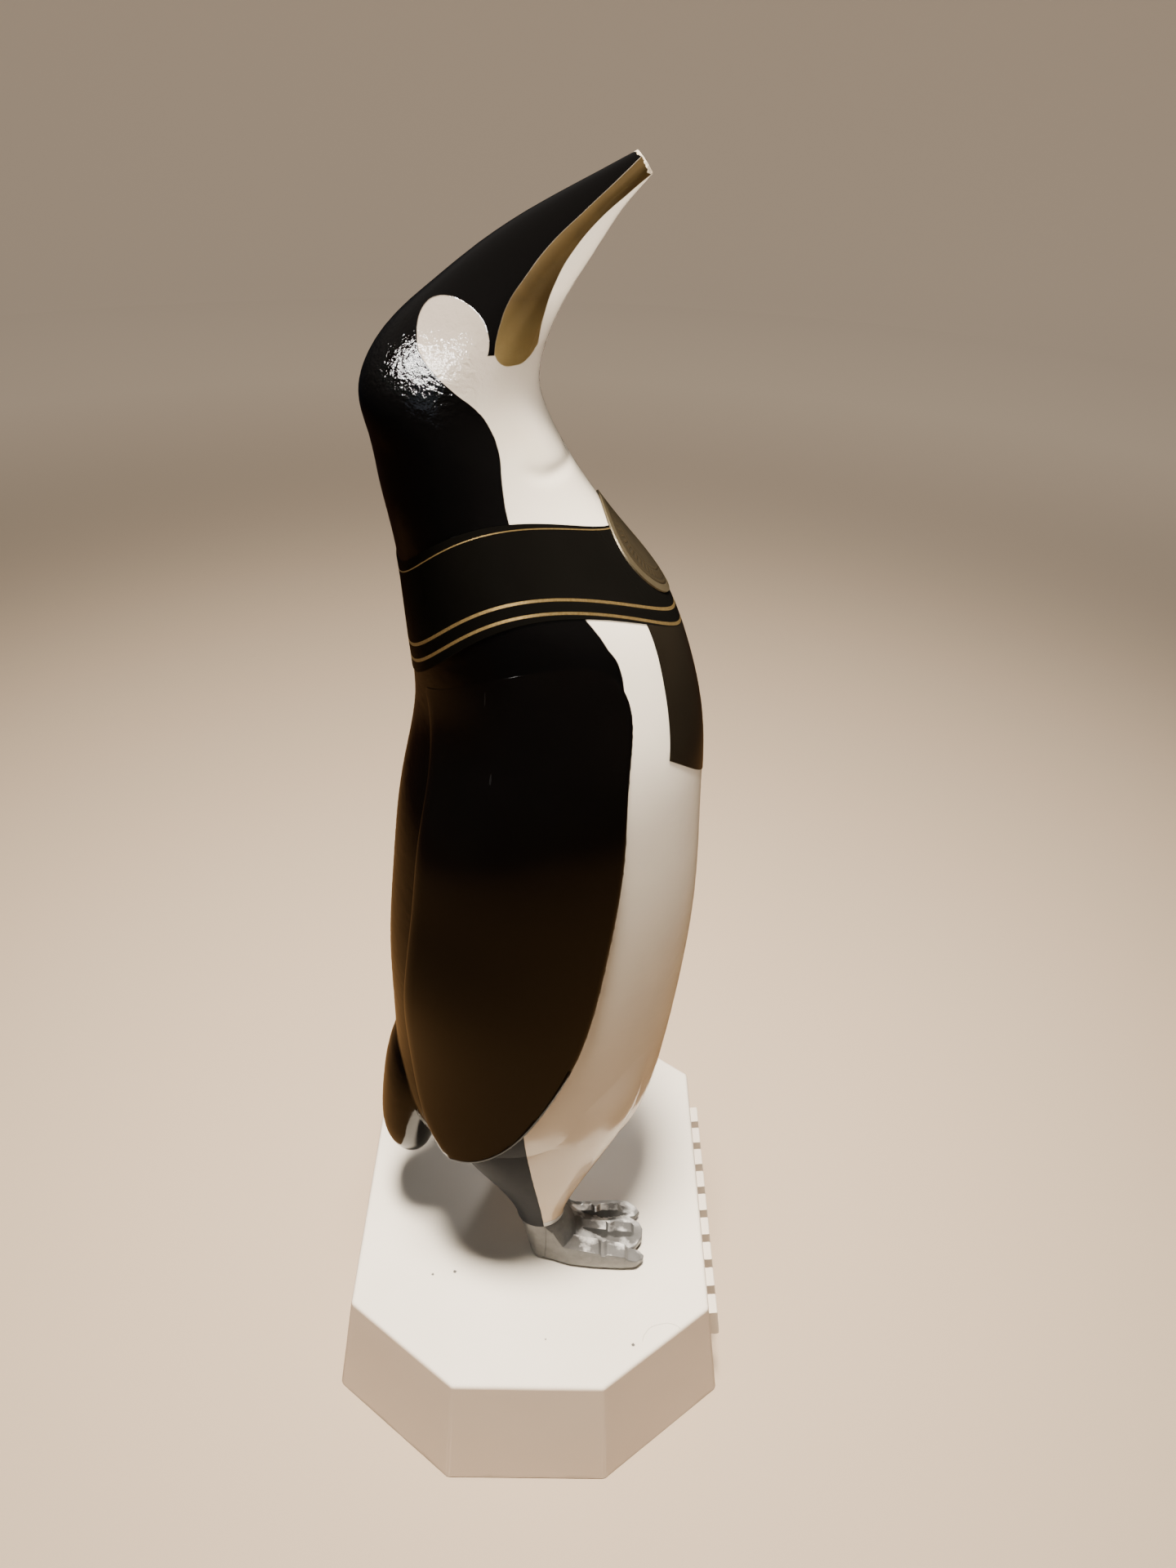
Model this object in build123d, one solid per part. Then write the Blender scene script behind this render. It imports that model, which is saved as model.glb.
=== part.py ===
from build123d import *
import os
from math import asin, cos, degrees, hypot, pi, sin, sqrt

# Penguin figurine on an octagonal plinth: two body mouldings, flippers, feet, labels and fasteners.
# Frame of the part: origin at the middle of the underside, +Z up, +X the plinth's front, +Y its left.
# Frame of the figure: origin on the deck, +X the way the bird faces, +Y its left. Lengths in millimetres.

# Plinth
plinth_width = 110.0        # deck, front to back
plinth_length = 144.0       # deck, side to side
plinth_height = 42.0        # deck above the table
corner_cut_x = 33.0         # corner cut, measured along the short sides
corner_cut_y = 25.5         # corner cut, measured along the long sides
wall_lean = 6.0             # how far a wall leans out from the deck to the foot
plinth_wall = 3.0
deck_thickness = 3.2
corner_round = 2.2
deck_edge_round = 1.4

# Underside
felt_thickness = 1.2
rim_lift = 0.4              # the rim clears the table, the felt stands on it
plate_thickness = 3.0
plate_clearance = 0.3       # all round, between the plate and the walls
ledge_width = 1.4           # ledge in the walls that the plate seats on
felt_inset = 3.0            # felt edge inside the plate edge
boss_radius = 4.5
boss_inset_x = 19.0         # boss axis in from the deck edge
boss_inset_y = 40.0

# Screws of the bottom plate
plate_screw_radius = 1.7
plate_screw_length = 16.0
plate_screw_head_radius = 3.4
plate_screw_head_height = 1.9
thread_clearance = 0.08
drill_over = 1.0            # holes run this far past what goes into them

# Row of blocks on the front wall
block_count = 9
block_width = 6.3
block_gap = 2.9
block_height = 12.0
block_depth = 2.6
block_top_drop = 5.0        # top of the blocks below the deck
block_round = 0.5
block_row_shift = -5.2      # the row sits off the middle of the wall

# Figure on the deck
figure_turn = 8.0           # the figure stands a little turned on its plinth
body_wall = 2.6
section_points = 16

# Stations of the body, from between the legs to the tip of the beak:
# back x, back z, front x, front z, half width
BODY = {
    "crotch": (-10.0, 33.5, 4.0, 31.5, 8.0),
    "seat": (-28.0, 38.5, 16.0, 33.5, 22.0),
    "rump": (-39.6, 51.5, 29.4, 43.5, 32.0),
    "hip": (-42.4, 79.0, 37.8, 70.7, 36.5),
    "low_belly": (-42.0, 113.3, 41.3, 105.7, 38.5),
    "belly": (-39.4, 142.4, 42.4, 136.1, 39.0),
    "high_belly": (-35.6, 169.9, 40.9, 166.6, 38.5),
    "breast": (-31.4, 192.5, 38.9, 188.9, 37.0),
    "shoulder": (-32.1, 209.2, 34.1, 206.5, 34.5),
    "collar": (-33.2, 224.8, 26.4, 222.9, 31.0),
    "low_neck": (-34.5, 235.6, 17.5, 234.0, 27.0),
    "neck": (-36.6, 247.3, 8.0, 246.5, 23.0),
    "high_neck": (-38.2, 257.5, 1.7, 256.9, 20.5),
    "throat": (-39.4, 266.7, -2.1, 266.6, 18.5),
    "nape": (-35.3, 275.5, -1.6, 273.5, 17.0),
    "crown": (-23.6, 286.4, 2.1, 282.9, 13.5),
    "forehead": (-16.2, 292.1, 4.9, 287.6, 11.5),
    "brow": (-8.4, 297.3, 8.0, 292.1, 9.5),
    "bill_root": (-1.9, 301.0, 10.7, 296.2, 7.8),
    "beak": (4.7, 304.4, 13.5, 300.2, 6.2),
    "bill": (10.4, 307.3, 16.2, 303.3, 4.9),
    "beak_tip": (16.1, 310.2, 19.0, 306.3, 3.6),
}
SOLID_TIP = ("bill", "beak_tip")    # stations past the end of the hollow
hollow_floor_z = 46.0       # the body is solid below this height
hollow_roof_z = 288.0       # and above this one

# Stations of the tail, which hangs behind the rump
TAIL = (
    (-35.0, 100.0, -18.0, 98.0, 11.0),
    (-42.4, 78.0, -23.0, 76.0, 14.5),
    (-46.8, 61.0, -28.0, 59.0, 15.0),
    (-48.5, 45.0, -31.5, 43.0, 13.2),
    (-47.6, 35.5, -33.0, 33.8, 10.6),
    (-44.6, 30.6, -35.2, 29.6, 7.2),
)

# Legs and feet, right side; the left side is its mirror
ankle_x = -1.2
ankle_y = 24.5
ankle_height = 18.0         # top of the foot, where the leg stands on it
# height, back x, front x, middle y, half width
LEG = (
    (92.0, -27.0, 31.5, 17.5, 18.0),
    (76.0, -27.0, 29.8, 18.5, 17.2),
    (62.0, -26.6, 26.8, 19.8, 15.6),
    (48.0, -25.0, 20.4, 21.6, 13.0),
    (37.0, -17.6, 13.8, 23.2, 10.4),
    (30.0, -13.1, 10.0, 24.0, 8.8),
    (24.0, -10.2, 7.4, 24.4, 7.6),
    (ankle_height, -8.6, 6.2, ankle_y, 6.9),
)
ankle_rim = 0.6             # the leg stands out this far round the top of the foot
foot_splay = 7.0            # toes turned out
foot_half_width = 11.0
foot_web_thickness = 5.0
heel_reach = 4.0            # heel behind the ankle
heel_half_width = 5.0
instep_reach = 14.0         # foot of the instep ahead of the ankle
toe_count = 3
toe_pitch = 7.6             # between neighbouring toes at their roots
toe_spread = 3.0            # angle between neighbouring toes
toe_root_x = 9.0
toe_length = 21.5
toe_root_radius = 4.2
toe_tip_radius = 2.8
web_reach = 18.0            # web between the toes, ahead of their roots

# Parting line of the two shells in side view, from the deck up to the tip of the beak: x, z
PARTING = ((0.8, 0.0), (-1.4, 21.8), (-5.6, 48.5), (-7.4, 62.0), (-6.0, 105.0), (-2.0, 160.0),
           (-2.0, 205.0), (-8.0, 238.0), (-11.0, 256.0), (-8.0, 270.0), (-2.4, 283.6), (3.1, 294.2),
           (10.8, 301.4), (24.0, 309.6))
figure_reach = 70.0         # half width of every cutting block, wider than the figure

# Dowels that line up the two shells
dowel_radius = 1.8
dowel_length = 10.0
dowel_boss_radius = 4.2
dowel_boss_length = 16.0
dowel_sink = 3.4            # dowel axis inside the inner face of the wall
DOWEL_HEIGHTS = (105.0, 182.0)

# Flippers: outline in side view, x and z, and the line of the rear edge seen from behind, y and z
flipper_thickness = 3.6
FLIPPER_SIDE = ((-36.0, 197.5), (-28.0, 204.5), (-15.0, 213.0), (0.0, 216.5), (9.8, 214.4), (14.8, 208.5),
                (15.9, 190.0), (15.1, 165.0), (12.2, 137.0), (5.7, 103.6), (-3.0, 83.4), (-9.5, 72.0),
                (-18.0, 62.0), (-26.0, 56.5), (-33.0, 54.2))
FLIPPER_REAR = ((7.0, 220.0), (14.3, 194.2), (19.4, 176.5), (21.4, 147.0), (21.4, 117.0), (20.0, 100.0),
                (20.0, 82.0), (23.5, 66.0), (30.5, 54.0))
# How far the outer face of a flipper stands off each station of the body
FLIPPER_STAND_OFF = {"low_belly": 3.9, "belly": 3.0, "high_belly": 2.8, "breast": 2.2, "shoulder": 0.8,
                     "collar": -1.6, "low_neck": -2.4, "neck": -3.0}
# Below the belly the flippers hang clear of the body
FLIPPER_HANG = ((-43.5, 46.0, 40.0, 38.0, 42.4), (-43.8, 62.0, 40.5, 54.0, 42.3),
                (-44.0, 78.0, 41.0, 70.0, 42.0), (-44.8, 95.0, 43.0, 87.0, 42.2))
peg_radius = 2.2
peg_length = 5.0            # peg inside the body
peg_root = 1.2              # peg inside the flipper
peg_clearance = 0.1
PEG_PLACES = ((-14.0, 196.0), (-16.0, 168.0))

# Labels: printed sheets that follow the body, bounded above and below by the same rising curve
label_thickness = 0.25
label_glue = 0.03           # film of glue under a label
label_rise = 0.0223         # rise per square millimetre away from the middle of the figure
band_lean = 0.16            # the band rises towards the front
band_bottom_z = 207.0
band_top_z = 234.8
panel_top_half_width = 18.6
panel_bottom_half_width = 29.0
panel_bottom_z = 171.7
panel_corner_z = 189.0
seal_radius = 14.0
seal_thickness = 0.5
seal_above_collar = 0.72    # place of the seal between the collar and the low neck stations

# Screws and washers that hold the feet to the deck
foot_screw_radius = 2.0
foot_screw_grip = 11.0      # thread inside the leg
foot_screw_head_radius = 3.8
foot_screw_head_height = 2.6
washer_radius = 5.5
washer_thickness = 1.2
screw_hole_clearance = 0.25

# Heights that follow from the sizes above
plate_seat_z = felt_thickness + plate_thickness
deck_under_z = plinth_height - deck_thickness
stand = Pos(0, 0, plinth_height) * Rot(0, 0, figure_turn)


def lean_at(z):
    """How far a wall of the plinth stands outside the deck's edge at a height."""
    return wall_lean * (plinth_height - z) / plinth_height


def octagon(grow, z):
    """Outline of the plinth with its edge moved out by grow, at a height."""
    half_x = plinth_width / 2
    half_y = plinth_length / 2
    quarter = ((half_x, half_y - corner_cut_y), (half_x - corner_cut_x, half_y))
    points = [quarter[0], quarter[1]]
    points += [(-x, y) for x, y in reversed(quarter)]
    points += [(-x, -y) for x, y in quarter]
    points += [(x, -y) for x, y in reversed(quarter)]
    outline = make_face(Polyline(*points, close=True))
    if grow:
        outline = offset(outline, amount=grow, kind=Kind.INTERSECTION)
    return Pos(0, 0, z) * outline


def rod(radius, length, place):
    """Upright cylinder that starts at a place and goes up."""
    return Pos(*place) * Cylinder(radius, length, align=(Align.CENTER, Align.CENTER, Align.MIN))


def boss_places():
    x = plinth_width / 2 - boss_inset_x
    y = plinth_length / 2 - boss_inset_y
    return [(i * x, j * y) for i in (1, -1) for j in (1, -1)]


def ankle_places():
    """Ankle axes in the frame of the part."""
    return [(stand * Pos(ankle_x, side * ankle_y, 0)).position for side in (-1, 1)]


def foot_screw_top():
    return plinth_height + ankle_height + foot_screw_grip


def base_shell():
    rim = octagon(lean_at(rim_lift), rim_lift)
    shell = loft([rim, octagon(0, plinth_height)], ruled=True)
    slanted = [e for e in shell.edges() if abs(e.tangent_at(0.5).Z) > 0.5]
    shell = fillet(slanted, corner_round)
    shell = fillet(shell.faces().sort_by(Axis.Z)[-1].edges(), deck_edge_round)
    low = octagon(wall_lean - plinth_wall, 0)
    shell -= loft([low, octagon(lean_at(deck_under_z) - plinth_wall, deck_under_z)], ruled=True)
    shell -= extrude(plate_outline(plate_clearance, 0), plate_seat_z)
    for x, y in boss_places():
        shell += rod(boss_radius, deck_under_z - plate_seat_z, (x, y, plate_seat_z))
        hole = plate_screw_length - plate_thickness + drill_over
        shell -= rod(plate_screw_radius + thread_clearance, hole, (x, y, plate_seat_z))
    for ankle in ankle_places():
        hole_radius = foot_screw_radius + screw_hole_clearance
        low_z = deck_under_z - drill_over
        shell -= rod(hole_radius, deck_thickness + 2 * drill_over, (ankle.X, ankle.Y, low_z))
    return shell


def plate_outline(grow, z):
    """Outline of the bottom plate, which fills the rebate inside the walls but for the clearance."""
    inside = lean_at(plate_seat_z) - plinth_wall + ledge_width - plate_clearance
    return octagon(inside + grow, z)


def countersunk_screw(clearance):
    """Screw with its flat head down at z = 0."""
    head = Cone(plate_screw_head_radius + clearance, plate_screw_radius + clearance, plate_screw_head_height,
                align=(Align.CENTER, Align.CENTER, Align.MIN))
    return head + rod(plate_screw_radius + clearance, plate_screw_length, (0, 0, 0))


def base_bottom_plate():
    plate = extrude(plate_outline(0, felt_thickness), plate_thickness)
    for x, y in boss_places():
        plate -= Pos(x, y, felt_thickness) * countersunk_screw(thread_clearance)
    return plate


def bottom_plate_screws():
    return [Pos(x, y, felt_thickness) * countersunk_screw(0) for x, y in boss_places()]


def base_felt():
    return extrude(plate_outline(-felt_inset, 0), felt_thickness)


def front_blocks():
    """Row of plain blocks that lie flat on the leaning front wall."""
    blocks = []
    pitch = block_width + block_gap
    middle_z = plinth_height - block_top_drop - block_height / 2
    wall_x = plinth_width / 2 + lean_at(middle_z)
    upward = Vector(-wall_lean, 0, plinth_height).normalized()
    face = Plane(origin=(wall_x, 0, middle_z), x_dir=(0, 1, 0), z_dir=Vector(0, 1, 0).cross(upward))
    for i in range(block_count):
        block = Box(block_width, block_height, block_depth, align=(Align.CENTER, Align.CENTER, Align.MIN))
        outer = block.edges().group_by(Axis.Z)[-1]
        block = fillet(outer, block_round)
        blocks.append(face * Pos(block_row_shift + (i - (block_count - 1) / 2) * pitch, 0, 0) * block)
    return blocks


def section(station, grow=0.0, shift_y=0.0):
    """Oval section across the figure at a station, its edge moved out by grow."""
    back_x, back_z, front_x, front_z, half_width = station
    run_x = front_x - back_x
    run_z = front_z - back_z
    run = hypot(run_x, run_z)
    half_depth = run / 2 + grow
    wide = half_width + grow
    middle = ((back_x + front_x) / 2, shift_y, (back_z + front_z) / 2)
    place = Plane(origin=middle, x_dir=(run_x, 0, run_z), z_dir=(-run_z, 0, run_x))
    turns = [2 * pi * k / section_points for k in range(section_points)]
    oval = Spline(*[(half_depth * cos(t), wide * sin(t)) for t in turns], periodic=True)
    return place * make_face(oval)


def body_form(grow=0.0):
    return loft([section(station, grow) for station in BODY.values()])


def body_hollow():
    inner = loft([section(station, -body_wall) for name, station in BODY.items() if name not in SOLID_TIP])
    height = hollow_roof_z - hollow_floor_z
    middle_z = (hollow_roof_z + hollow_floor_z) / 2
    return inner & Pos(0, 0, middle_z) * Box(2 * figure_reach, 2 * figure_reach, height)


def leg_form(side):
    rings = []
    for height, back_x, front_x, middle_y, half_width in LEG:
        rings.append(section((back_x, height, front_x, height, half_width), 0.0, side * middle_y))
    return loft(rings)


def tail_form():
    return loft([section(station) for station in TAIL])


def side_plate(curve_points, closing_points, y_low, y_high):
    """Solid block whose outline in side view is a smooth curve closed by straight lines."""
    curve = Spline(*[(x, 0, z) for x, z in curve_points])
    ends = [(x, 0, z) for x, z in (curve_points[-1], *closing_points, curve_points[0])]
    face = make_face([curve, Polyline(*ends)])
    block = extrude(face, amount=y_high - y_low, dir=(0, 1, 0))
    return Pos(0, y_low, 0) * block


def front_block():
    """Everything in front of the parting line."""
    top_z = PARTING[-1][1]
    closing = ((figure_reach, top_z), (figure_reach, 0.0))
    return side_plate(PARTING, closing, -figure_reach, figure_reach)


def parting_x(z):
    """Where the parting line is at a height on the trunk."""
    for (x0, z0), (x1, z1) in zip(PARTING, PARTING[1:]):
        if z0 <= z <= z1:
            return x0 + (x1 - x0) * (z - z0) / (z1 - z0)
    raise ValueError("height off the parting line")


def surface_y(x, z):
    """Half width of the trunk at a place in side view, between its stations."""
    levels = []
    for back_x, back_z, front_x, front_z, wide in BODY.values():
        levels.append(((back_z + front_z) / 2, back_x, front_x, wide))
    for low, high in zip(levels, levels[1:]):
        if low[0] <= z <= high[0]:
            share = (z - low[0]) / (high[0] - low[0])
            back_x, front_x, wide = (a + (b - a) * share for a, b in zip(low[1:], high[1:]))
            across = (2 * x - front_x - back_x) / (front_x - back_x)
            return wide * sqrt(1 - across ** 2)
    raise ValueError("height off the trunk")


def dowel_places():
    places = []
    for z in DOWEL_HEIGHTS:
        x = parting_x(z)
        y = surface_y(x, z) - body_wall - dowel_sink
        places += [(x, side * y, z) for side in (-1, 1)]
    return places


def lying_rod(radius, length, place):
    """Cylinder along x with its middle at a place."""
    return Pos(*place) * Rot(0, 90, 0) * Cylinder(radius, length)


def pegs(side, radius):
    """Pegs from inside a flipper to inside the body."""
    rods = []
    for x, z in PEG_PLACES:
        middle_y = side * (surface_y(x, z) + (peg_root - peg_length) / 2)
        rods.append(Pos(x, middle_y, z) * Rot(90, 0, 0) * Cylinder(radius, peg_root + peg_length))
    return rods


def flipper_skin(grow):
    rings = [section(station, grow) for station in FLIPPER_HANG]
    rings += [section(BODY[name], stand_off + grow) for name, stand_off in FLIPPER_STAND_OFF.items()]
    return loft(rings)


def flipper(side, body):
    skin = flipper_skin(0.0) - flipper_skin(-flipper_thickness)
    closing = ((-figure_reach, FLIPPER_SIDE[-1][1]), (-figure_reach, FLIPPER_SIDE[0][1]))
    y_low, y_high = sorted((0.0, side * figure_reach))
    leaf = skin & side_plate(FLIPPER_SIDE, closing, y_low, y_high)
    rear = Spline(*[(0, side * y, z) for y, z in FLIPPER_REAR])
    low_y, low_z = FLIPPER_REAR[-1]
    top_y, top_z = FLIPPER_REAR[0]
    far_y = side * figure_reach
    ends = Polyline((0, side * low_y, low_z), (0, far_y, low_z), (0, far_y, top_z), (0, side * top_y, top_z))
    rear_block = extrude(make_face([rear, ends]), amount=figure_reach, dir=(1, 0, 0), both=True)
    leaf = (leaf & rear_block) - body - tail_form()
    for peg in pegs(side, peg_radius):
        leaf += peg
    return leaf


def foot():
    """Foot on the deck with the ankle at its origin, toes along +x."""
    web_x = toe_root_x + web_reach
    half = ((-heel_reach, heel_half_width), (toe_root_x, foot_half_width), (web_x, foot_half_width))
    outline = Polyline(*half, *[(x, -y) for x, y in reversed(half)], close=True)
    solid = extrude(make_face(outline), foot_web_thickness)
    fall = degrees(asin((toe_root_radius - toe_tip_radius) / toe_length))
    for i in range(toe_count):
        place = i - (toe_count - 1) / 2
        bar = Rot(0, 90, 0) * Cone(toe_root_radius, toe_tip_radius, toe_length,
                                   align=(Align.CENTER, Align.CENTER, Align.MIN))
        bar = bar + Sphere(toe_root_radius) + Pos(toe_length, 0, 0) * Sphere(toe_tip_radius)
        root = Pos(toe_root_x, place * toe_pitch, toe_root_radius)
        solid += root * Rot(0, 0, place * toe_spread) * Rot(0, fall, 0) * bar
    height, back_x, front_x, middle_y, half_width = LEG[-1]
    top = section((back_x - ankle_x, height, front_x - ankle_x, height, half_width), -ankle_rim)
    sole = section((-heel_reach, 0, instep_reach, 0, half_width))
    solid += loft([sole, top])
    solid &= Pos(0, 0, height / 2) * Box(2 * figure_reach, 2 * figure_reach, height)
    solid -= rod(foot_screw_radius + thread_clearance, height, (0, 0, 0))
    return solid


def foot_at(side):
    return Pos(ankle_x, side * ankle_y, 0) * Rot(0, 0, side * foot_splay) * foot()


def rising_curve(low_z, half_width):
    """Curve seen from the front that rises with the square of the distance from the middle."""
    rise = label_rise * half_width ** 2
    return Bezier((0, -half_width, low_z + rise), (0, 0, low_z - rise), (0, half_width, low_z + rise))


def band_block():
    low = rising_curve(band_bottom_z, figure_reach)
    high = rising_curve(band_top_z, figure_reach)
    ends = [Line(low @ 1, high @ 1), Line(high @ 0, low @ 0)]
    block = extrude(make_face([low, high, *ends]), amount=2 * figure_reach, dir=(1, 0, band_lean))
    return Pos(-figure_reach, 0, -figure_reach * band_lean) * block


def chest_panel(sheet):
    """Label on the belly from the lower edge of the band down."""
    top_z = band_top_z
    rise = panel_corner_z - panel_bottom_z
    low = Bezier((0, -panel_bottom_half_width, panel_corner_z), (0, 0, panel_bottom_z - rise),
                 (0, panel_bottom_half_width, panel_corner_z))
    sides = Polyline(low @ 1, (0, panel_top_half_width, top_z), (0, -panel_top_half_width, top_z), low @ 0)
    block = extrude(make_face([low, sides]), amount=figure_reach, dir=(1, 0, 0))
    return (sheet & block) - band_block()


def chest_seal():
    low = BODY["collar"]
    high = BODY["low_neck"]
    x = low[2] + (high[2] - low[2]) * seal_above_collar
    z = low[3] + (high[3] - low[3]) * seal_above_collar
    outward = Vector(low[3] - high[3], 0, high[2] - low[2]) * -1
    face = Plane(origin=(x, 0, z), x_dir=(0, 1, 0), z_dir=outward)
    drum = face * Cylinder(seal_radius, 2 * seal_radius)
    return (body_form(label_thickness + seal_thickness) & drum) - body_form(label_thickness + label_glue)


def foot_screw(place):
    head_z = deck_under_z - washer_thickness - foot_screw_head_height
    head = rod(foot_screw_head_radius, foot_screw_head_height, (place.X, place.Y, head_z))
    shank = rod(foot_screw_radius, foot_screw_top() - head_z, (place.X, place.Y, head_z))
    return head + shank


def foot_washer(place):
    low_z = deck_under_z - washer_thickness
    ring = rod(washer_radius, washer_thickness, (place.X, place.Y, low_z))
    return ring - rod(foot_screw_radius + screw_hole_clearance, washer_thickness, (place.X, place.Y, low_z))


def shells(body):
    """The two halves of the body with bosses, holes and legs, split at the parting line."""
    walls = body + tail_form()
    for side in (-1, 1):
        walls += leg_form(side)
    hollow = body_hollow()
    for place in dowel_places():
        hollow -= lying_rod(dowel_boss_radius, dowel_boss_length, place)
    walls -= hollow
    for place in dowel_places():
        walls -= lying_rod(dowel_radius + thread_clearance, dowel_length + drill_over, place)
    for side in (-1, 1):
        for hole in pegs(side, peg_radius + peg_clearance):
            walls -= hole
        ankle = (ankle_x, side * ankle_y, ankle_height)
        walls -= rod(foot_screw_radius + thread_clearance, foot_screw_grip + drill_over, ankle)
    front = front_block()
    return walls & front, walls - front


def write(node, shape):
    pieces = shape if isinstance(shape, list) else [shape]
    solids = [s for piece in pieces for s in piece.solids()]
    export_step(solids[0] if len(solids) == 1 else Compound(children=solids), f"parts/{node}.step")
    print(node, len(solids), round(sum(s.volume for s in solids)))


def main():
    os.makedirs("parts", exist_ok=True)
    write("base_shell", base_shell())
    write("base_bottom_plate", base_bottom_plate())
    write("bottom_plate_screws", bottom_plate_screws())
    write("base_felt", base_felt())
    write("front_dentil_blocks", front_blocks())
    body = body_form()
    belly, back = shells(body)
    write("belly_shell", stand * belly)
    write("back_shell", stand * back)
    write("shell_dowels", [stand * lying_rod(dowel_radius, dowel_length, p) for p in dowel_places()])
    for side, name in ((-1, "right"), (1, "left")):
        write(f"{name}_flipper", stand * flipper(side, body))
        write(f"{name}_foot", stand * foot_at(side))
    sheet = body_form(label_thickness) - body_form(label_glue)
    write("collar_band", stand * (sheet & band_block()))
    write("chest_panel", stand * chest_panel(sheet))
    write("chest_seal", stand * chest_seal())
    write("foot_screws", [foot_screw(p) for p in ankle_places()])
    write("foot_washers", [foot_washer(p) for p in ankle_places()])


main()
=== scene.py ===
import math

import bpy
import numpy as np
from mathutils import Matrix, Vector


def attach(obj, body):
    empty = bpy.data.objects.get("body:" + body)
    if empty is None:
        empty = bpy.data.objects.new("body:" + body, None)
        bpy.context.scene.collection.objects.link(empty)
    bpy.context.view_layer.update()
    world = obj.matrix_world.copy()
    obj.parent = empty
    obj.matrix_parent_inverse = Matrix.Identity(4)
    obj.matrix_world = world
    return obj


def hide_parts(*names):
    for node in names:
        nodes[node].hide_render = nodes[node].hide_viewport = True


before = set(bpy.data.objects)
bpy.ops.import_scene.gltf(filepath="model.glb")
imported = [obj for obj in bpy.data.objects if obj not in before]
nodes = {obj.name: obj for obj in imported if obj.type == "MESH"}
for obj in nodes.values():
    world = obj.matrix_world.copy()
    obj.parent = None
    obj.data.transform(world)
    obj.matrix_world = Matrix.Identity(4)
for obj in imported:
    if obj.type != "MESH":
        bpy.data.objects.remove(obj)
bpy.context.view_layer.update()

# Frame of the figure: x forward, y left, z above the deck, in millimetres
DECK_MM = 42.0
TURN = math.radians(8.0)


# Shader helpers

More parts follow.
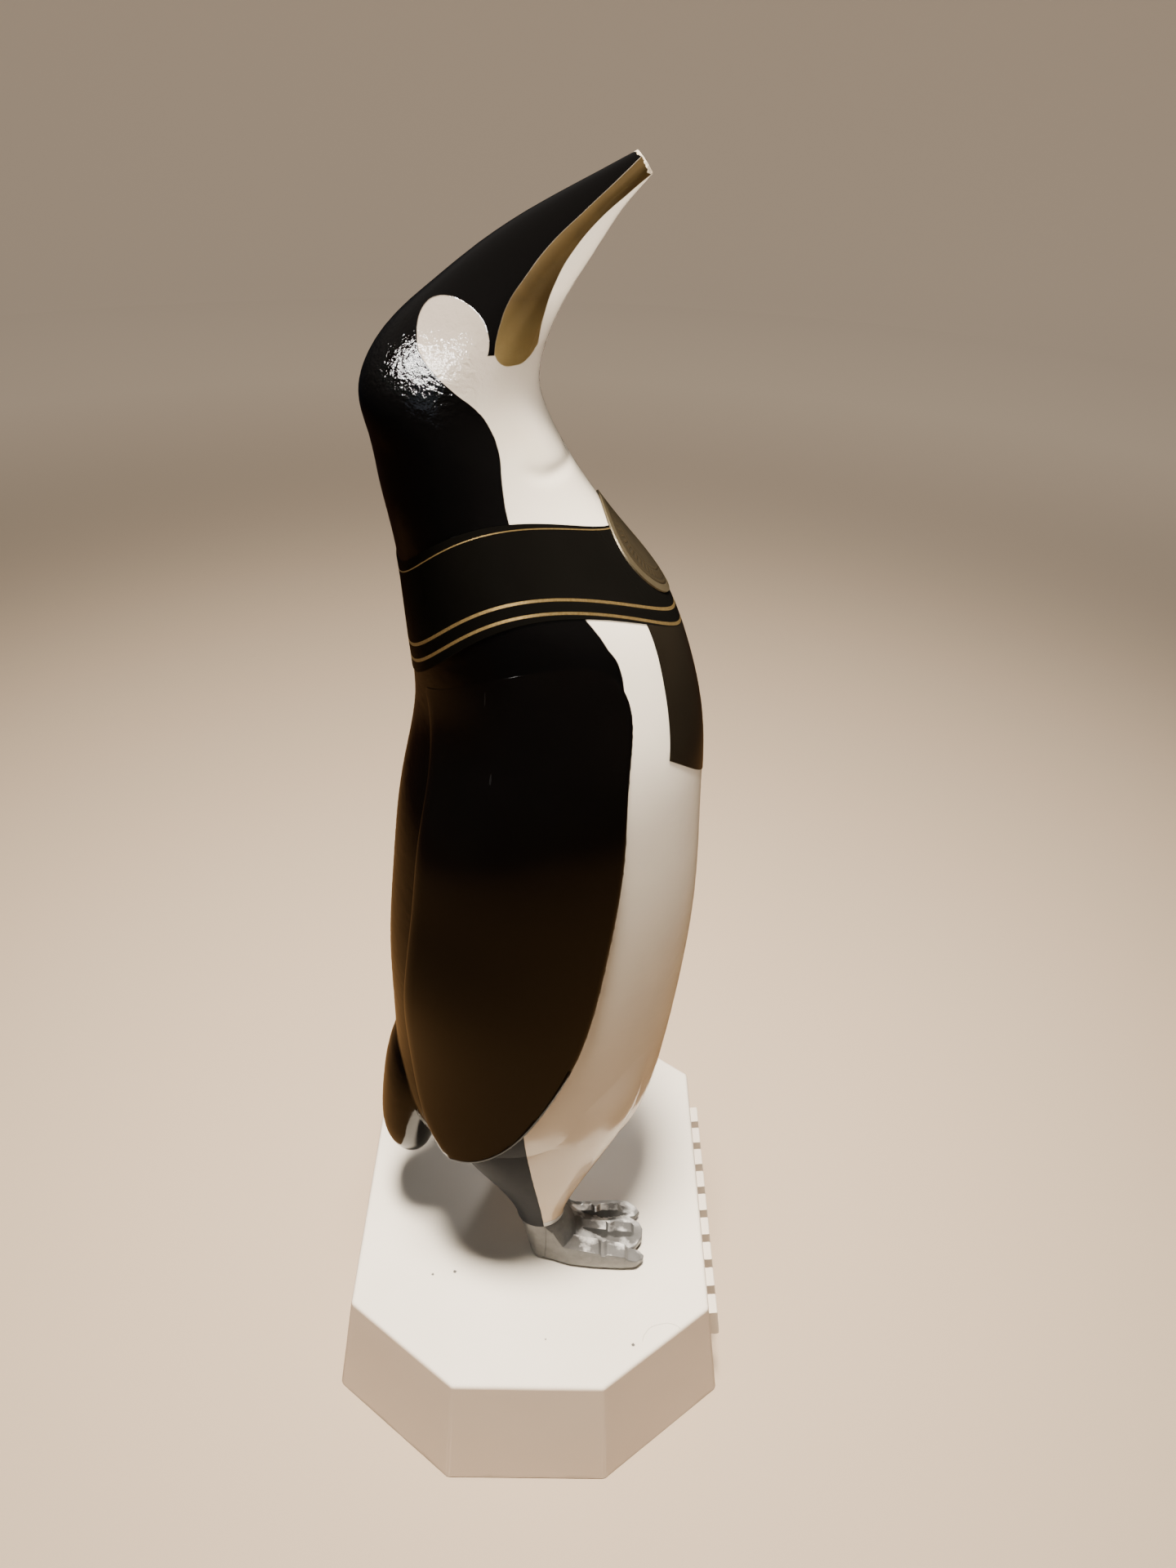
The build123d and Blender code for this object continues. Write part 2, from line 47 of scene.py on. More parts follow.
class Shader:
    """A material under construction. Sockets and numbers mix freely in its methods."""

    def __init__(self, name):
        self.material = bpy.data.materials.new(name)
        self.material.use_nodes = True
        self.tree = self.material.node_tree
        self.bsdf = self.tree.nodes["Principled BSDF"]
        coords = self.node("ShaderNodeTexCoord")
        mm = self.node("ShaderNodeMapping")
        mm.inputs["Scale"].default_value = (1000.0, 1000.0, 1000.0)
        self.tree.links.new(coords.outputs["Object"], mm.inputs["Vector"])
        self.mm = mm.outputs["Vector"]

    def node(self, kind):
        return self.tree.nodes.new(kind)

    def put(self, socket, value):
        if isinstance(value, bpy.types.NodeSocket):
            self.tree.links.new(value, socket)
        elif isinstance(value, (tuple, list)) and len(value) == 3 and socket.type == "RGBA":
            socket.default_value = (*value, 1.0)
        else:
            socket.default_value = value

    def set(self, **values):
        for key, value in values.items():
            self.put(self.bsdf.inputs[key.replace("_", " ")], value)

    def math(self, operation, a, b=0.0, c=0.0):
        n = self.node("ShaderNodeMath")
        n.operation = operation
        for socket, value in zip(n.inputs, (a, b, c)):
            self.put(socket, value)
        return n.outputs[0]

    def add(self, a, b):
        return self.math("ADD", a, b)

    def sub(self, a, b):
        return self.math("SUBTRACT", a, b)

    def mul(self, a, b):
        return self.math("MULTIPLY", a, b)

    def union(self, a, b):
        return self.math("MAXIMUM", a, b)

    def reach(self, across, along):
        """Length of a vector with two given parts."""
        return self.math("SQRT", self.add(self.mul(across, across), self.mul(along, along)))

    def invert(self, a):
        return self.math("SUBTRACT", 1.0, a)

    def step(self, value, edge, soft=0.12):
        """1 where value is above edge, with a soft edge."""
        n = self.node("ShaderNodeMapRange")
        n.interpolation_type = "SMOOTHSTEP"
        self.put(n.inputs["Value"], self.sub(value, edge))
        n.inputs["From Min"].default_value = -soft
        n.inputs["From Max"].default_value = soft
        return n.outputs["Result"]

    def line(self, value, middle, half, soft=0.12):
        """1 on a line of a half width about a middle value."""
        return self.step(half, self.math("ABSOLUTE", self.sub(value, middle)), soft)

    def hill(self, value, middle, width):
        """1 at a middle value, falling off smoothly over a width on both sides."""
        share = self.math("DIVIDE", self.sub(value, middle), width)
        return self.math("EXPONENT", self.mul(self.mul(share, share), -1.0))

    def span(self, value, low, high, to_low=0.0, to_high=1.0):
        """Value moved from one range to another and kept inside it."""
        n = self.node("ShaderNodeMapRange")
        self.put(n.inputs["Value"], value)
        for name, number in (("From Min", low), ("From Max", high), ("To Min", to_low), ("To Max", to_high)):
            self.put(n.inputs[name], number)
        return n.outputs["Result"]

    def noise(self, size, detail=2.0, rough=0.5, vector=None):
        """Noise from 0 to 1 with features of a size in millimetres."""
        n = self.node("ShaderNodeTexNoise")
        self.put(n.inputs["Vector"], vector or self.mm)
        n.inputs["Scale"].default_value = 1.0 / size
        n.inputs["Detail"].default_value = detail
        n.inputs["Roughness"].default_value = rough
        return n.outputs["Fac"]

    def cells(self, size):
        """Distance to the nearest of scattered points, and a random number for each point."""
        n = self.node("ShaderNodeTexVoronoi")
        self.put(n.inputs["Vector"], self.mm)
        n.inputs["Scale"].default_value = 1.0 / size
        return n.outputs["Distance"], n.outputs["Color"]

    def specks(self, size, share, radius):
        """Small scattered dots: about a share of the cells holds one of a radius in millimetres."""
        distance, colour = self.cells(size)
        split = self.node("ShaderNodeSeparateColor")
        self.put(split.inputs["Color"], colour)
        chosen = self.step(split.outputs["Red"], 1.0 - share, 0.001)
        reach = self.mul(split.outputs["Green"], radius / size)
        return self.mul(chosen, self.step(reach, distance, 0.25 * radius / size))

    def mix(self, share, a, b):
        """Mix of two colours."""
        n = self.node("ShaderNodeMix")
        n.data_type = "RGBA"
        self.put(n.inputs["Factor"], share)
        self.put(n.inputs["A"], (*a, 1.0) if isinstance(a, tuple) else a)
        self.put(n.inputs["B"], (*b, 1.0) if isinstance(b, tuple) else b)
        return n.outputs["Result"]

    def blend(self, share, a, b):
        """Mix of two numbers."""
        n = self.node("ShaderNodeMix")
        self.put(n.inputs["Factor"], share)
        self.put(n.inputs["A"], a)
        self.put(n.inputs["B"], b)
        return n.outputs["Result"]

    def curve(self, value, points, low, high, out_low, out_high):
        """Value of a smooth curve through points, whose x runs from low to high."""
        n = self.node("ShaderNodeFloatCurve")
        mapping = n.mapping
        mapping.use_clip = False
        spots = [((x - low) / (high - low), (y - out_low) / (out_high - out_low)) for x, y in sorted(points)]
        line = mapping.curves[0]
        while len(line.points) < len(spots):
            line.points.new(0.5, 0.5)
        for point, spot in zip(line.points, spots):
            point.location = spot
            point.handle_type = "AUTO_CLAMPED"
        mapping.update()
        self.put(n.inputs["Value"], self.span(value, low, high))
        return self.span(n.outputs["Value"], 0.0, 1.0, out_low, out_high)

    def bump(self, height, distance, normal=None):
        """Surface relief whose height of 1 stands for a distance in millimetres."""
        n = self.node("ShaderNodeBump")
        n.inputs["Strength"].default_value = 1.0
        n.inputs["Distance"].default_value = distance / 1000.0
        self.put(n.inputs["Height"], height)
        if normal is not None:
            self.put(n.inputs["Normal"], normal)
        return n.outputs["Normal"]

    def figure(self):
        """Coordinates in the frame of the figure."""
        n = self.node("ShaderNodeMapping")
        n.inputs["Rotation"].default_value = (0.0, 0.0, -TURN)
        n.inputs["Location"].default_value = (0.0, 0.0, -DECK_MM)
        self.put(n.inputs["Vector"], self.mm)
        split = self.node("ShaderNodeSeparateXYZ")
        self.put(split.inputs["Vector"], n.outputs["Vector"])
        return split.outputs["X"], split.outputs["Y"], split.outputs["Z"]

    def part(self):
        """Coordinates in the frame of the part."""
        split = self.node("ShaderNodeSeparateXYZ")
        self.put(split.inputs["Vector"], self.mm)
        return split.outputs["X"], split.outputs["Y"], split.outputs["Z"]


# Paint of the figure in side view: the ranges of the curves that part the colours
SIDE_X = (-60.0, 60.0)
FIGURE_Z = (0.0, 320.0)
FLIPPER_Z = (0.0, 240.0)
HEAD_Z = (260.0, 320.0)
THROAT_Z = (240.0, 270.0)
LEG_Z = (0.0, 120.0)

# Upright lines between the colours, as z and x
DARK_EDGE = (
    (0.0, 0.8), (13.6, -0.5), (21.8, -1.4), (36.0, -3.6), (48.5, -5.6), (61.5, -7.4), (70.0, -8.0),
    (82.0, -5.0), (100.0, 3.0), (120.0, 8.0), (150.0, 12.4), (190.0, 14.2), (206.0, 14.0), (214.3, 12.8),
    (219.1, 10.1), (224.9, 5.8), (235.0, -4.0), (244.6, -10.4), (252.5, -11.8), (258.0, -12.1),
    (262.0, -13.3), (266.6, -16.3), (269.9, -20.3), (273.3, -24.2), (276.6, -26.86), (279.0, -27.4))
GOLD_EDGE = (
    (272.0, -13.2), (276.8, -12.7), (281.0, -11.8), (285.8, -9.7), (289.7, -6.6), (294.8, -2.0), (301.1, 5.7),
    (306.2, 12.2), (309.0, 15.7), (313.0, 20.6))
BILL_EDGE = (
    (272.0, -3.9), (278.1, -3.5), (283.6, -2.4), (289.8, 0.1), (294.2, 3.1), (299.3, 8.2), (303.1, 13.4),
    (305.7, 17.2), (309.0, 22.5))

# Lines across, as x and z
GOLD_FOOT = (
    (-14.5, 281.0), (-12.9, 277.2), (-11.6, 275.1), (-9.6, 274.2), (-7.6, 274.2), (-6.1, 274.8),
    (-4.7, 275.9), (-3.8, 277.0), (-2.6, 277.5), (40.0, 277.5))
GREY_EDGE = (
    (-52.0, 12.0), (-46.0, 22.0), (-42.0, 26.0), (-38.0, 30.5), (-34.0, 36.0), (-30.0, 44.0), (-26.0, 56.0),
    (-22.0, 70.0), (0.0, 80.0))
FOLD = ((-20.0, 256.0), (-11.0, 254.8), (-7.4, 254.2), (-2.0, 252.5), (4.0, 252.1), (12.0, 252.0))

CHEEK = (-20.5, 279.0, 6.8)     # x, z and radius of the round patch
CHEEK_FOOT_Z = 276.6
TIP = (17.5, 308.2)             # where the tip of the beak is worn
TIP_WAY = (0.82, 0.57)          # the way that the beak points
TIP_RAGGED = 1.4
SPLASH_Z = (18.0, 22.0)         # silver on the cream, just above the feet
BRUSH_WOBBLE = 0.2

BLACK = (0.0014, 0.0012, 0.0011)
CREAM = (0.85, 0.775, 0.65)
AGED_CREAM = (0.77, 0.70, 0.60)
STAINED_CREAM = (0.76, 0.66, 0.47)
# Painted shade on the upper cream of the neck and cheek
HEAD_SHADE_CREAM = (0.29, 0.25, 0.21)
# Painted shade with warm bounce light on the lower cream
LOW_SHADE_CREAM = (0.46, 0.325, 0.195)
SPECK_BROWN = (0.22, 0.15, 0.09)
GREY = (0.012, 0.0135, 0.017)
PALE_GREY = (0.019, 0.021, 0.026)
# Painted highlight: the lower end of the gold stripe is this lighter gold
GOLD_PAINTED_HIGHLIGHT = (0.33, 0.235, 0.09)
DULL_GOLD = (0.105, 0.068, 0.026)
WORN_GOLD = (0.20, 0.125, 0.04)
SILVER = (0.34, 0.33, 0.32)
BARE = (0.72, 0.65, 0.52)
DARK_BARE = (0.45, 0.36, 0.24)


def paint_zones(sh, s, z):
    """Where each colour of the figure lies, as shares from 0 to 1."""
    wobble = sh.span(sh.noise(5.0, 3.0), 0.0, 1.0, -BRUSH_WOBBLE, BRUSH_WOBBLE)
    sw = sh.add(s, wobble)
    zw = sh.add(z, wobble)
    low_dark = sh.step(sh.curve(zw, DARK_EDGE, *FIGURE_Z, *SIDE_X), sw)
    gold_edge = sh.curve(zw, GOLD_EDGE, *HEAD_Z, *SIDE_X)
    bill_edge = sh.curve(zw, BILL_EDGE, *HEAD_Z, *SIDE_X)
    gold_foot = sh.curve(sw, GOLD_FOOT, *SIDE_X, *HEAD_Z)
    grey_edge = sh.curve(sw, GREY_EDGE, *SIDE_X, *LEG_Z)
    cheek_x, cheek_z, cheek_radius = CHEEK
    cheek = sh.step(cheek_radius, sh.reach(sh.sub(sw, cheek_x), sh.sub(zw, cheek_z)))
    high_dark = sh.mul(sh.step(gold_edge, sw), sh.invert(cheek))
    stripe = sh.mul(sh.step(sw, gold_edge), sh.step(bill_edge, sw))
    past_tip = sh.add(sh.mul(sh.sub(s, TIP[0]), TIP_WAY[0]), sh.mul(sh.sub(z, TIP[1]), TIP_WAY[1]))
    ragged = sh.span(sh.noise(1.6, 3.0), 0.0, 1.0, -TIP_RAGGED, TIP_RAGGED)
    splash_z = sh.span(sh.noise(3.5, 3.0), 0.0, 1.0, *SPLASH_Z)
    return {
        "dark": sh.blend(sh.step(zw, CHEEK_FOOT_Z), low_dark, high_dark),
        "gold": sh.mul(stripe, sh.step(zw, gold_foot)),
        "grey": sh.mul(low_dark, sh.step(grey_edge, zw, 0.5)),
        "chip": sh.step(sh.add(past_tip, ragged), -0.5, 0.15),
        "splash": sh.mul(sh.invert(low_dark), sh.step(splash_z, z, 0.8)),
    }


def figure_colour(sh, s, z, zones):
    cream = sh.mix(sh.span(sh.noise(38.0, 4.0, 0.55), 0.35, 0.75), CREAM, AGED_CREAM)
    stain = sh.mul(sh.hill(z, 262.0, 7.0), sh.span(sh.noise(11.0, 3.0), 0.45, 0.8, 0.0, 0.6))
    cream = sh.mix(stain, cream, STAINED_CREAM)
    bill = sh.mul(sh.span(s, -12.0, -5.0), sh.span(z, 276.0, 287.0))
    # Painted shade: the cream darkens towards the head, but not under the bill
    cream = sh.mix(sh.mul(sh.span(z, 238.0, 282.0), sh.invert(bill)), cream, HEAD_SHADE_CREAM)
    # Painted shade and warm bounce light: the cream darkens and warms towards the bottom
    cream = sh.mix(sh.span(z, 120.0, 30.0, 0.0, 0.8), cream, LOW_SHADE_CREAM)
    cream = sh.mix(sh.mul(sh.specks(16.0, 0.4, 0.5), 0.7), cream, SPECK_BROWN)
    # Painted highlight: the gold stripe is lighter at its lower end
    leaf = sh.mix(sh.span(z, 276.0, 286.0), GOLD_PAINTED_HIGHLIGHT, DULL_GOLD)
    leaf = sh.mix(sh.span(sh.noise(7.0, 4.0, 0.6), 0.4, 0.8, 0.0, 0.5), leaf, WORN_GOLD)
    colour = sh.mix(zones["dark"], cream, BLACK)
    colour = sh.mix(zones["grey"], colour, sh.mix(sh.noise(9.0, 3.0), GREY, PALE_GREY))
    colour = sh.mix(zones["gold"], colour, leaf)
    colour = sh.mix(zones["splash"], colour, SILVER)
    return sh.mix(zones["chip"], colour, sh.mix(sh.noise(1.2, 3.0), BARE, DARK_BARE))


def figure_roughness(sh, zones):
    smear = sh.span(sh.noise(26.0, 5.0, 0.6), 0.3, 0.8)
    cream = sh.span(smear, 0.0, 1.0, 0.10, 0.19)
    rough = sh.blend(zones["dark"], cream, sh.span(smear, 0.0, 1.0, 0.07, 0.14))
    rough = sh.blend(zones["grey"], rough, sh.span(smear, 0.0, 1.0, 0.42, 0.55))
    rough = sh.blend(zones["gold"], rough, sh.span(smear, 0.0, 1.0, 0.30, 0.42))
    rough = sh.blend(zones["splash"], rough, 0.35)
    return sh.blend(zones["chip"], rough, 0.7)


def figure_relief(sh, s, z, zones):
    """Gentle waves, orange peel on the nape, the fold of the throat and the edges of the paint."""
    normal = sh.bump(sh.noise(36.0, 1.0), 0.10)
    nape = sh.mul(sh.hill(z, 275.0, 8.0), sh.span(s, -10.0, -18.0))
    normal = sh.bump(sh.mul(sh.noise(1.4, 3.0, 0.6), sh.blend(nape, 0.06, 1.0)), 0.33, normal)
    fold_z = sh.curve(s, FOLD, *SIDE_X, *THROAT_Z)
    fold = sh.sub(sh.mul(sh.hill(z, sh.add(fold_z, 5.5), 4.6), 0.7), sh.hill(z, fold_z, 1.5))
    normal = sh.bump(sh.mul(fold, sh.span(s, -8.5, -1.0)), 0.75, normal)
    edges = sh.sub(sh.mul(zones["dark"], 0.12), sh.mul(zones["chip"], sh.noise(0.9, 4.0)))
    return sh.bump(edges, 0.4, normal)


def figure_paint(name, gloss):
    sh = Shader(name)
    s, _, z = sh.figure()
    zones = paint_zones(sh, s, z)
    metal = sh.union(sh.mul(zones["gold"], 0.75), sh.mul(zones["splash"], 0.4))
    sh.set(Base_Color=figure_colour(sh, s, z, zones), Metallic=sh.mul(metal, sh.invert(zones["chip"])))
    sh.set(Roughness=figure_roughness(sh, zones), Specular_IOR_Level=gloss)
    sh.set(Normal=figure_relief(sh, s, z, zones))
    return sh.material


# Flippers: their edge in side view as x and z, from the back over the top and down the front to the tip
FLIPPER_EDGE = (
    (-36.0, 197.5), (-28.0, 204.5), (-15.0, 213.0), (0.0, 216.5), (9.8, 214.4), (14.8, 208.5), (15.9, 190.0),
    (15.1, 165.0), (12.2, 137.0), (5.7, 103.6), (-3.0, 83.4), (-9.5, 72.0), (-18.0, 62.0), (-26.0, 56.5),
    (-33.0, 54.2))
FLIPPER_FRONT = [(z, x) for x, z in FLIPPER_EDGE[5:-1]] + [(54.0, -33.0)]    # z and x
BROWN_BLACK = (0.0024, 0.0018, 0.0014)
LACQUER_CHIP = (0.55, 0.47, 0.36)


def flipper_lacquer(name, gloss):
    """Black lacquer with a chipped front edge and fine scratches along it."""
    sh = Shader(name)
    s, _, z = sh.figure()
    smear = sh.span(sh.noise(26.0, 5.0, 0.6), 0.3, 0.8)
    colour = sh.mix(sh.noise(20.0, 3.0), BLACK, BROWN_BLACK)
    front = sh.curve(z, FLIPPER_FRONT, *FLIPPER_Z, *SIDE_X)
    rim = sh.step(s, sh.sub(front, sh.span(sh.noise(2.2, 4.0, 0.65), 0.62, 0.85, -0.8, 1.6)), 0.15)
    chip = sh.mul(rim, sh.step(sh.noise(13.0, 2.0), 0.5, 0.02))
    colour = sh.mix(chip, colour, LACQUER_CHIP)
    lengthwise = sh.node("ShaderNodeMapping")
    lengthwise.inputs["Rotation"].default_value = (0.0, 0.5, 0.3)
    lengthwise.inputs["Scale"].default_value = (1.0, 1.0, 0.03)
    sh.put(lengthwise.inputs["Vector"], sh.mm)
    hair = sh.step(sh.noise(1.6, 1.0, 0.5, lengthwise.outputs["Vector"]), 0.77, 0.02)
    scratch = sh.mul(hair, sh.step(sh.noise(24.0, 2.0), 0.56, 0.05))
    rough = sh.span(smear, 0.0, 1.0, 0.10, 0.19)
    rough = sh.blend(sh.union(chip, sh.mul(scratch, 0.5)), rough, 0.5)
    sh.set(Base_Color=colour, Roughness=rough)
    normal = sh.bump(sh.noise(40.0, 1.0), 0.12)
    normal = sh.bump(sh.noise(1.5, 2.0, 0.55), 0.010, normal)
    normal = sh.bump(sh.add(chip, sh.mul(scratch, 0.2)), -0.15, normal)
    sh.set(Normal=normal, Specular_IOR_Level=gloss)
    return sh.material


# Marks on the deck as x, y and radius: dark spots, and an arc that a hair lies along
DECK_SPOTS = ((31.2, -58.6, 0.55), (-24.2, -35.6, 0.5), (-31.1, -36.6, 0.4), (4.8, -57.3, 0.3))
HAIR_ARC = (41.0, -58.4, 6.9)

PLINTH_WHITE = (0.80, 0.735, 0.635)
PLINTH_DULL = (0.74, 0.675, 0.575)
# Painted shade on the walls, in two warm tones
PLINTH_WALL_SHADE = (0.58, 0.475, 0.375)
PLINTH_WARM_WALL_SHADE = (0.53, 0.43, 0.34)
PLINTH_SPECK = (0.25, 0.20, 0.14)
PLINTH_SPOT = (0.10, 0.09, 0.08)
PLINTH_HAIR = (0.30, 0.26, 0.21)
# Painted shadow along the bottom edge
PLINTH_BOTTOM_SHADOW = (0.30, 0.23, 0.16)


def plinth_plastic(name, wall_shade):
    """White plastic with a few marks on the deck, walls painted darker and warmer as shade by a share, and a
    painted shadow along the bottom edge.
    """
    sh = Shader(name)
    x, y, z = sh.part()
    tint = sh.mix(sh.span(sh.noise(45.0, 4.0), 0.3, 0.7), PLINTH_WHITE, PLINTH_DULL)
    tint = sh.mix(sh.mul(sh.specks(11.0, 0.25, 0.4), 0.55), tint, PLINTH_SPECK)
    deck = sh.step(z, DECK_MM - 0.3, 0.05)
    # Painted shade: the walls below the deck are darker and warmer, by a share
    wall = sh.mul(sh.step(DECK_MM - 0.6, z, 0.5), wall_shade)
    tint = sh.mix(wall, tint, sh.mix(sh.noise(30.0, 3.0), PLINTH_WALL_SHADE, PLINTH_WARM_WALL_SHADE))
    for spot_x, spot_y, radius in DECK_SPOTS:
        away = sh.reach(sh.sub(x, spot_x), sh.sub(y, spot_y))
        away = sh.add(away, sh.span(sh.noise(0.8, 2.0), 0.0, 1.0, -0.3, 0.3))
        tint = sh.mix(sh.mul(deck, sh.step(radius, away, 0.15)), tint, PLINTH_SPOT)
    arc_x, arc_y, arc_radius = HAIR_ARC
    away = sh.reach(sh.sub(x, arc_x), sh.sub(y, arc_y))
    away = sh.add(away, sh.span(sh.noise(6.0, 1.0), 0.0, 1.0, -0.7, 0.7))
    hair = sh.mul(sh.mul(sh.line(away, arc_radius, 0.13, 0.06), deck), sh.step(y, arc_y + 1.0, 0.5))
    tint = sh.mix(sh.mul(hair, 0.55), tint, PLINTH_HAIR)
    # Painted shadow: a darker band along the bottom edge
    bottom_shadow = sh.mul(sh.step(sh.span(sh.noise(9.0, 4.0, 0.6), 0.0, 1.0, -2.0, 3.2), z, 1.2), 0.45)
    tint = sh.mix(bottom_shadow, tint, PLINTH_BOTTOM_SHADOW)
    sh.set(Base_Color=tint, Roughness=sh.span(sh.noise(22.0, 5.0, 0.6), 0.3, 0.75, 0.30, 0.46))
    normal = sh.bump(sh.noise(26.0, 1.0), 0.22)
    sh.set(Normal=sh.bump(sh.noise(0.7, 2.0), 0.012, normal))
    return sh.material


SEAM_X = -0.4                   # casting seam across each foot
FOOT_LIGHT = (0.145, 0.142, 0.135)
FOOT_DARK = (0.095, 0.093, 0.088)
# Painted highlight on the upward-facing sides
FOOT_PAINTED_HIGHLIGHT = (0.88, 0.87, 0.84)
FOOT_WORN = (0.17, 0.165, 0.165)
FOOT_SEAM = (0.10, 0.10, 0.10)


def silver_paint():
    """Dull silver with a painted highlight in patches on the upward-facing sides."""
    sh = Shader("silver_paint")
    s, _, _ = sh.figure()
    facing = sh.node("ShaderNodeSeparateXYZ")
    sh.put(facing.inputs["Vector"], sh.node("ShaderNodeNewGeometry").outputs["Normal"])
    # Painted highlight in patches on the upward-facing sides
    upper = sh.step(facing.outputs["Z"], 0.72, 0.2)
    painted_top_highlight = sh.mul(upper, sh.span(sh.noise(5.0, 3.0), 0.47, 0.64, 0.04, 1.0))
    tint = sh.mix(sh.span(sh.noise(3.0, 4.0, 0.6), 0.3, 0.7), FOOT_LIGHT, FOOT_DARK)
    tint = sh.mix(painted_top_highlight, tint, FOOT_PAINTED_HIGHLIGHT)
    worn = sh.step(sh.noise(2.4, 4.0, 0.65), 0.66, 0.05)
    tint = sh.mix(sh.mul(worn, 0.5), tint, FOOT_WORN)
    seam = sh.line(sh.add(s, sh.span(sh.noise(4.0, 2.0), 0.0, 1.0, -0.3, 0.3)), SEAM_X, 0.10, 0.08)
    tint = sh.mix(sh.mul(seam, 0.8), tint, FOOT_SEAM)
    sh.set(Base_Color=tint, Metallic=0.2, Roughness=sh.span(sh.noise(4.0, 4.0), 0.3, 0.7, 0.28, 0.42))
    normal = sh.bump(sh.noise(4.0, 2.0), 0.18)
    normal = sh.bump(sh.noise(0.8, 3.0), 0.022, normal)
    sh.set(Normal=sh.bump(seam, -0.15, normal))
    return sh.material


BAND_BLACK = (0.0024, 0.0022, 0.0018)
PANEL_BLACK = (0.0085, 0.0066, 0.0042)
BAND_GOLD = (0.36, 0.25, 0.10)
BAND_DULL_GOLD = (0.24, 0.16, 0.06)
BAND_RISE = 0.0223              # the lines rise with the square of the distance from the middle
BAND_LINES = ((208.9, 0.12, 0.42), (213.0, 0.12, 0.42), (233.6, 0.20, 0.14))    # height, lean, half width


def label_print(lines):
    """Black print: the band with its gold lines, or the plain panel."""
    sh = Shader("label_band" if lines else "label_panel")
    s, y, z = sh.figure()
    base = BAND_BLACK if lines else PANEL_BLACK
    colour = sh.mix(sh.noise(14.0, 4.0), base, tuple(1.7 * c for c in base))
    rough = sh.span(sh.noise(18.0, 4.0), 0.3, 0.7, 0.12, 0.22)
    metal = 0.0
    if lines:
        level = sh.sub(z, sh.mul(sh.mul(y, y), BAND_RISE))
        gold = 0.0
        for height, lean, half in BAND_LINES:
            gold = sh.union(gold, sh.line(sh.sub(level, sh.mul(s, lean)), height, half, 0.06))
        grains = sh.span(sh.noise(0.5, 2.0), 0.3, 0.7)
        colour = sh.mix(gold, colour, sh.mix(grains, BAND_GOLD, BAND_DULL_GOLD))
        rough = sh.blend(gold, rough, 0.36)
        metal = sh.mul(gold, 0.75)
    sh.set(Base_Color=colour, Roughness=rough, Metallic=metal)
    sh.set(Normal=sh.bump(sh.noise(9.0, 2.0), 0.05), Specular_IOR_Level=0.02 if lines else 0.4)
    return sh.material


# Seal: its middle and its upward direction in side view, and its plain pattern
SEAL_AT = (19.99, 230.9)
SEAL_UP = (-0.6255, 0.7802)
SEAL_RIM = 12.3
SEAL_RINGS = ((11.7, 0.3), (8.2, 0.25))     # radius, half width
SEAL_TICKS = (44.0, 9.9, 0.9)               # count, radius, half length
FOIL = (0.056, 0.044, 0.026)
FOIL_RIM = (0.13, 0.104, 0.06)
FOIL_PATTERN = (0.07, 0.05, 0.025)
FOIL_WORN = (0.08, 0.06, 0.032)


def gold_foil():
    sh = Shader("gold_foil")
    s, y, z = sh.figure()
    up = sh.add(sh.mul(sh.sub(s, SEAL_AT[0]), SEAL_UP[0]), sh.mul(sh.sub(z, SEAL_AT[1]), SEAL_UP[1]))
    radius = sh.reach(y, up)
    count, at, half = SEAL_TICKS
    beat = sh.math("SINE", sh.mul(sh.math("ARCTAN2", up, y), count))
    ticks = sh.mul(sh.step(beat, 0.0, 0.3), sh.line(radius, at, half))
    pattern = sh.add(ticks, sh.add(*[sh.line(radius, *ring) for ring in SEAL_RINGS]))
    rim = sh.step(radius, SEAL_RIM, 0.1)
    colour = sh.mix(rim, FOIL, FOIL_RIM)
    colour = sh.mix(sh.mul(pattern, 0.7), colour, FOIL_PATTERN)
    colour = sh.mix(sh.span(sh.noise(4.0, 4.0), 0.4, 0.8, 0.0, 0.5), colour, FOIL_WORN)
    sh.set(Base_Color=colour, Metallic=0.6, Roughness=sh.span(sh.noise(5.0, 3.0), 0.3, 0.7, 0.34, 0.48))
    sh.set(Normal=sh.bump(sh.add(rim, sh.mul(pattern, 0.6)), 0.2))
    return sh.material


def plain(name, a, b, size, rough, metal, relief):
    """Plain material for the pieces that are under the plinth or inside it."""
    sh = Shader(name)
    grain = sh.noise(size, 4.0, 0.6)
    sh.set(Base_Color=sh.mix(grain, a, b), Metallic=metal)
    sh.set(Roughness=sh.span(grain, 0.2, 0.8, rough, rough + 0.15))
    sh.set(Normal=sh.bump(sh.noise(size * 0.3, 3.0), relief))
    return sh.material


# Pieces that stand for CAD nodes with more detail

def to_part(points):
    """Points of the figure in millimetres to metres in the frame of the part."""
    x, y, z = np.asarray(points, float).T
    placed = (x * math.cos(TURN) - y * math.sin(TURN), x * math.sin(TURN) + y * math.cos(TURN), z + DECK_MM)
    return np.column_stack(placed) / 1000.0


def piece(name, points, faces, material, angle=40.0):
    mesh = bpy.data.meshes.new(name)
    mesh.from_pydata(to_part(points).tolist(), [], faces)
    mesh.validate()
    mesh.materials.append(material)
    mesh.shade_smooth()
    mesh.set_sharp_from_angle(angle=math.radians(angle))
    thing = bpy.data.objects.new(name, mesh)
    bpy.context.scene.collection.objects.link(thing)
    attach(thing, "root")
    return thing


def grid_faces(rows, columns, start=0, flip=False):
    faces = []
    for i in range(rows - 1):
        for j in range(columns - 1):
            a = start + i * columns + j
            quad = (a, a + 1, a + columns + 1, a + columns)
            faces.append(quad[::-1] if flip else quad)
    return faces


def band_faces(low, high):
    """Faces between two closed loops of vertices with the same count."""
    count = len(low)
    return [(low[k], low[(k + 1) % count], high[(k + 1) % count], high[k]) for k in range(count)]


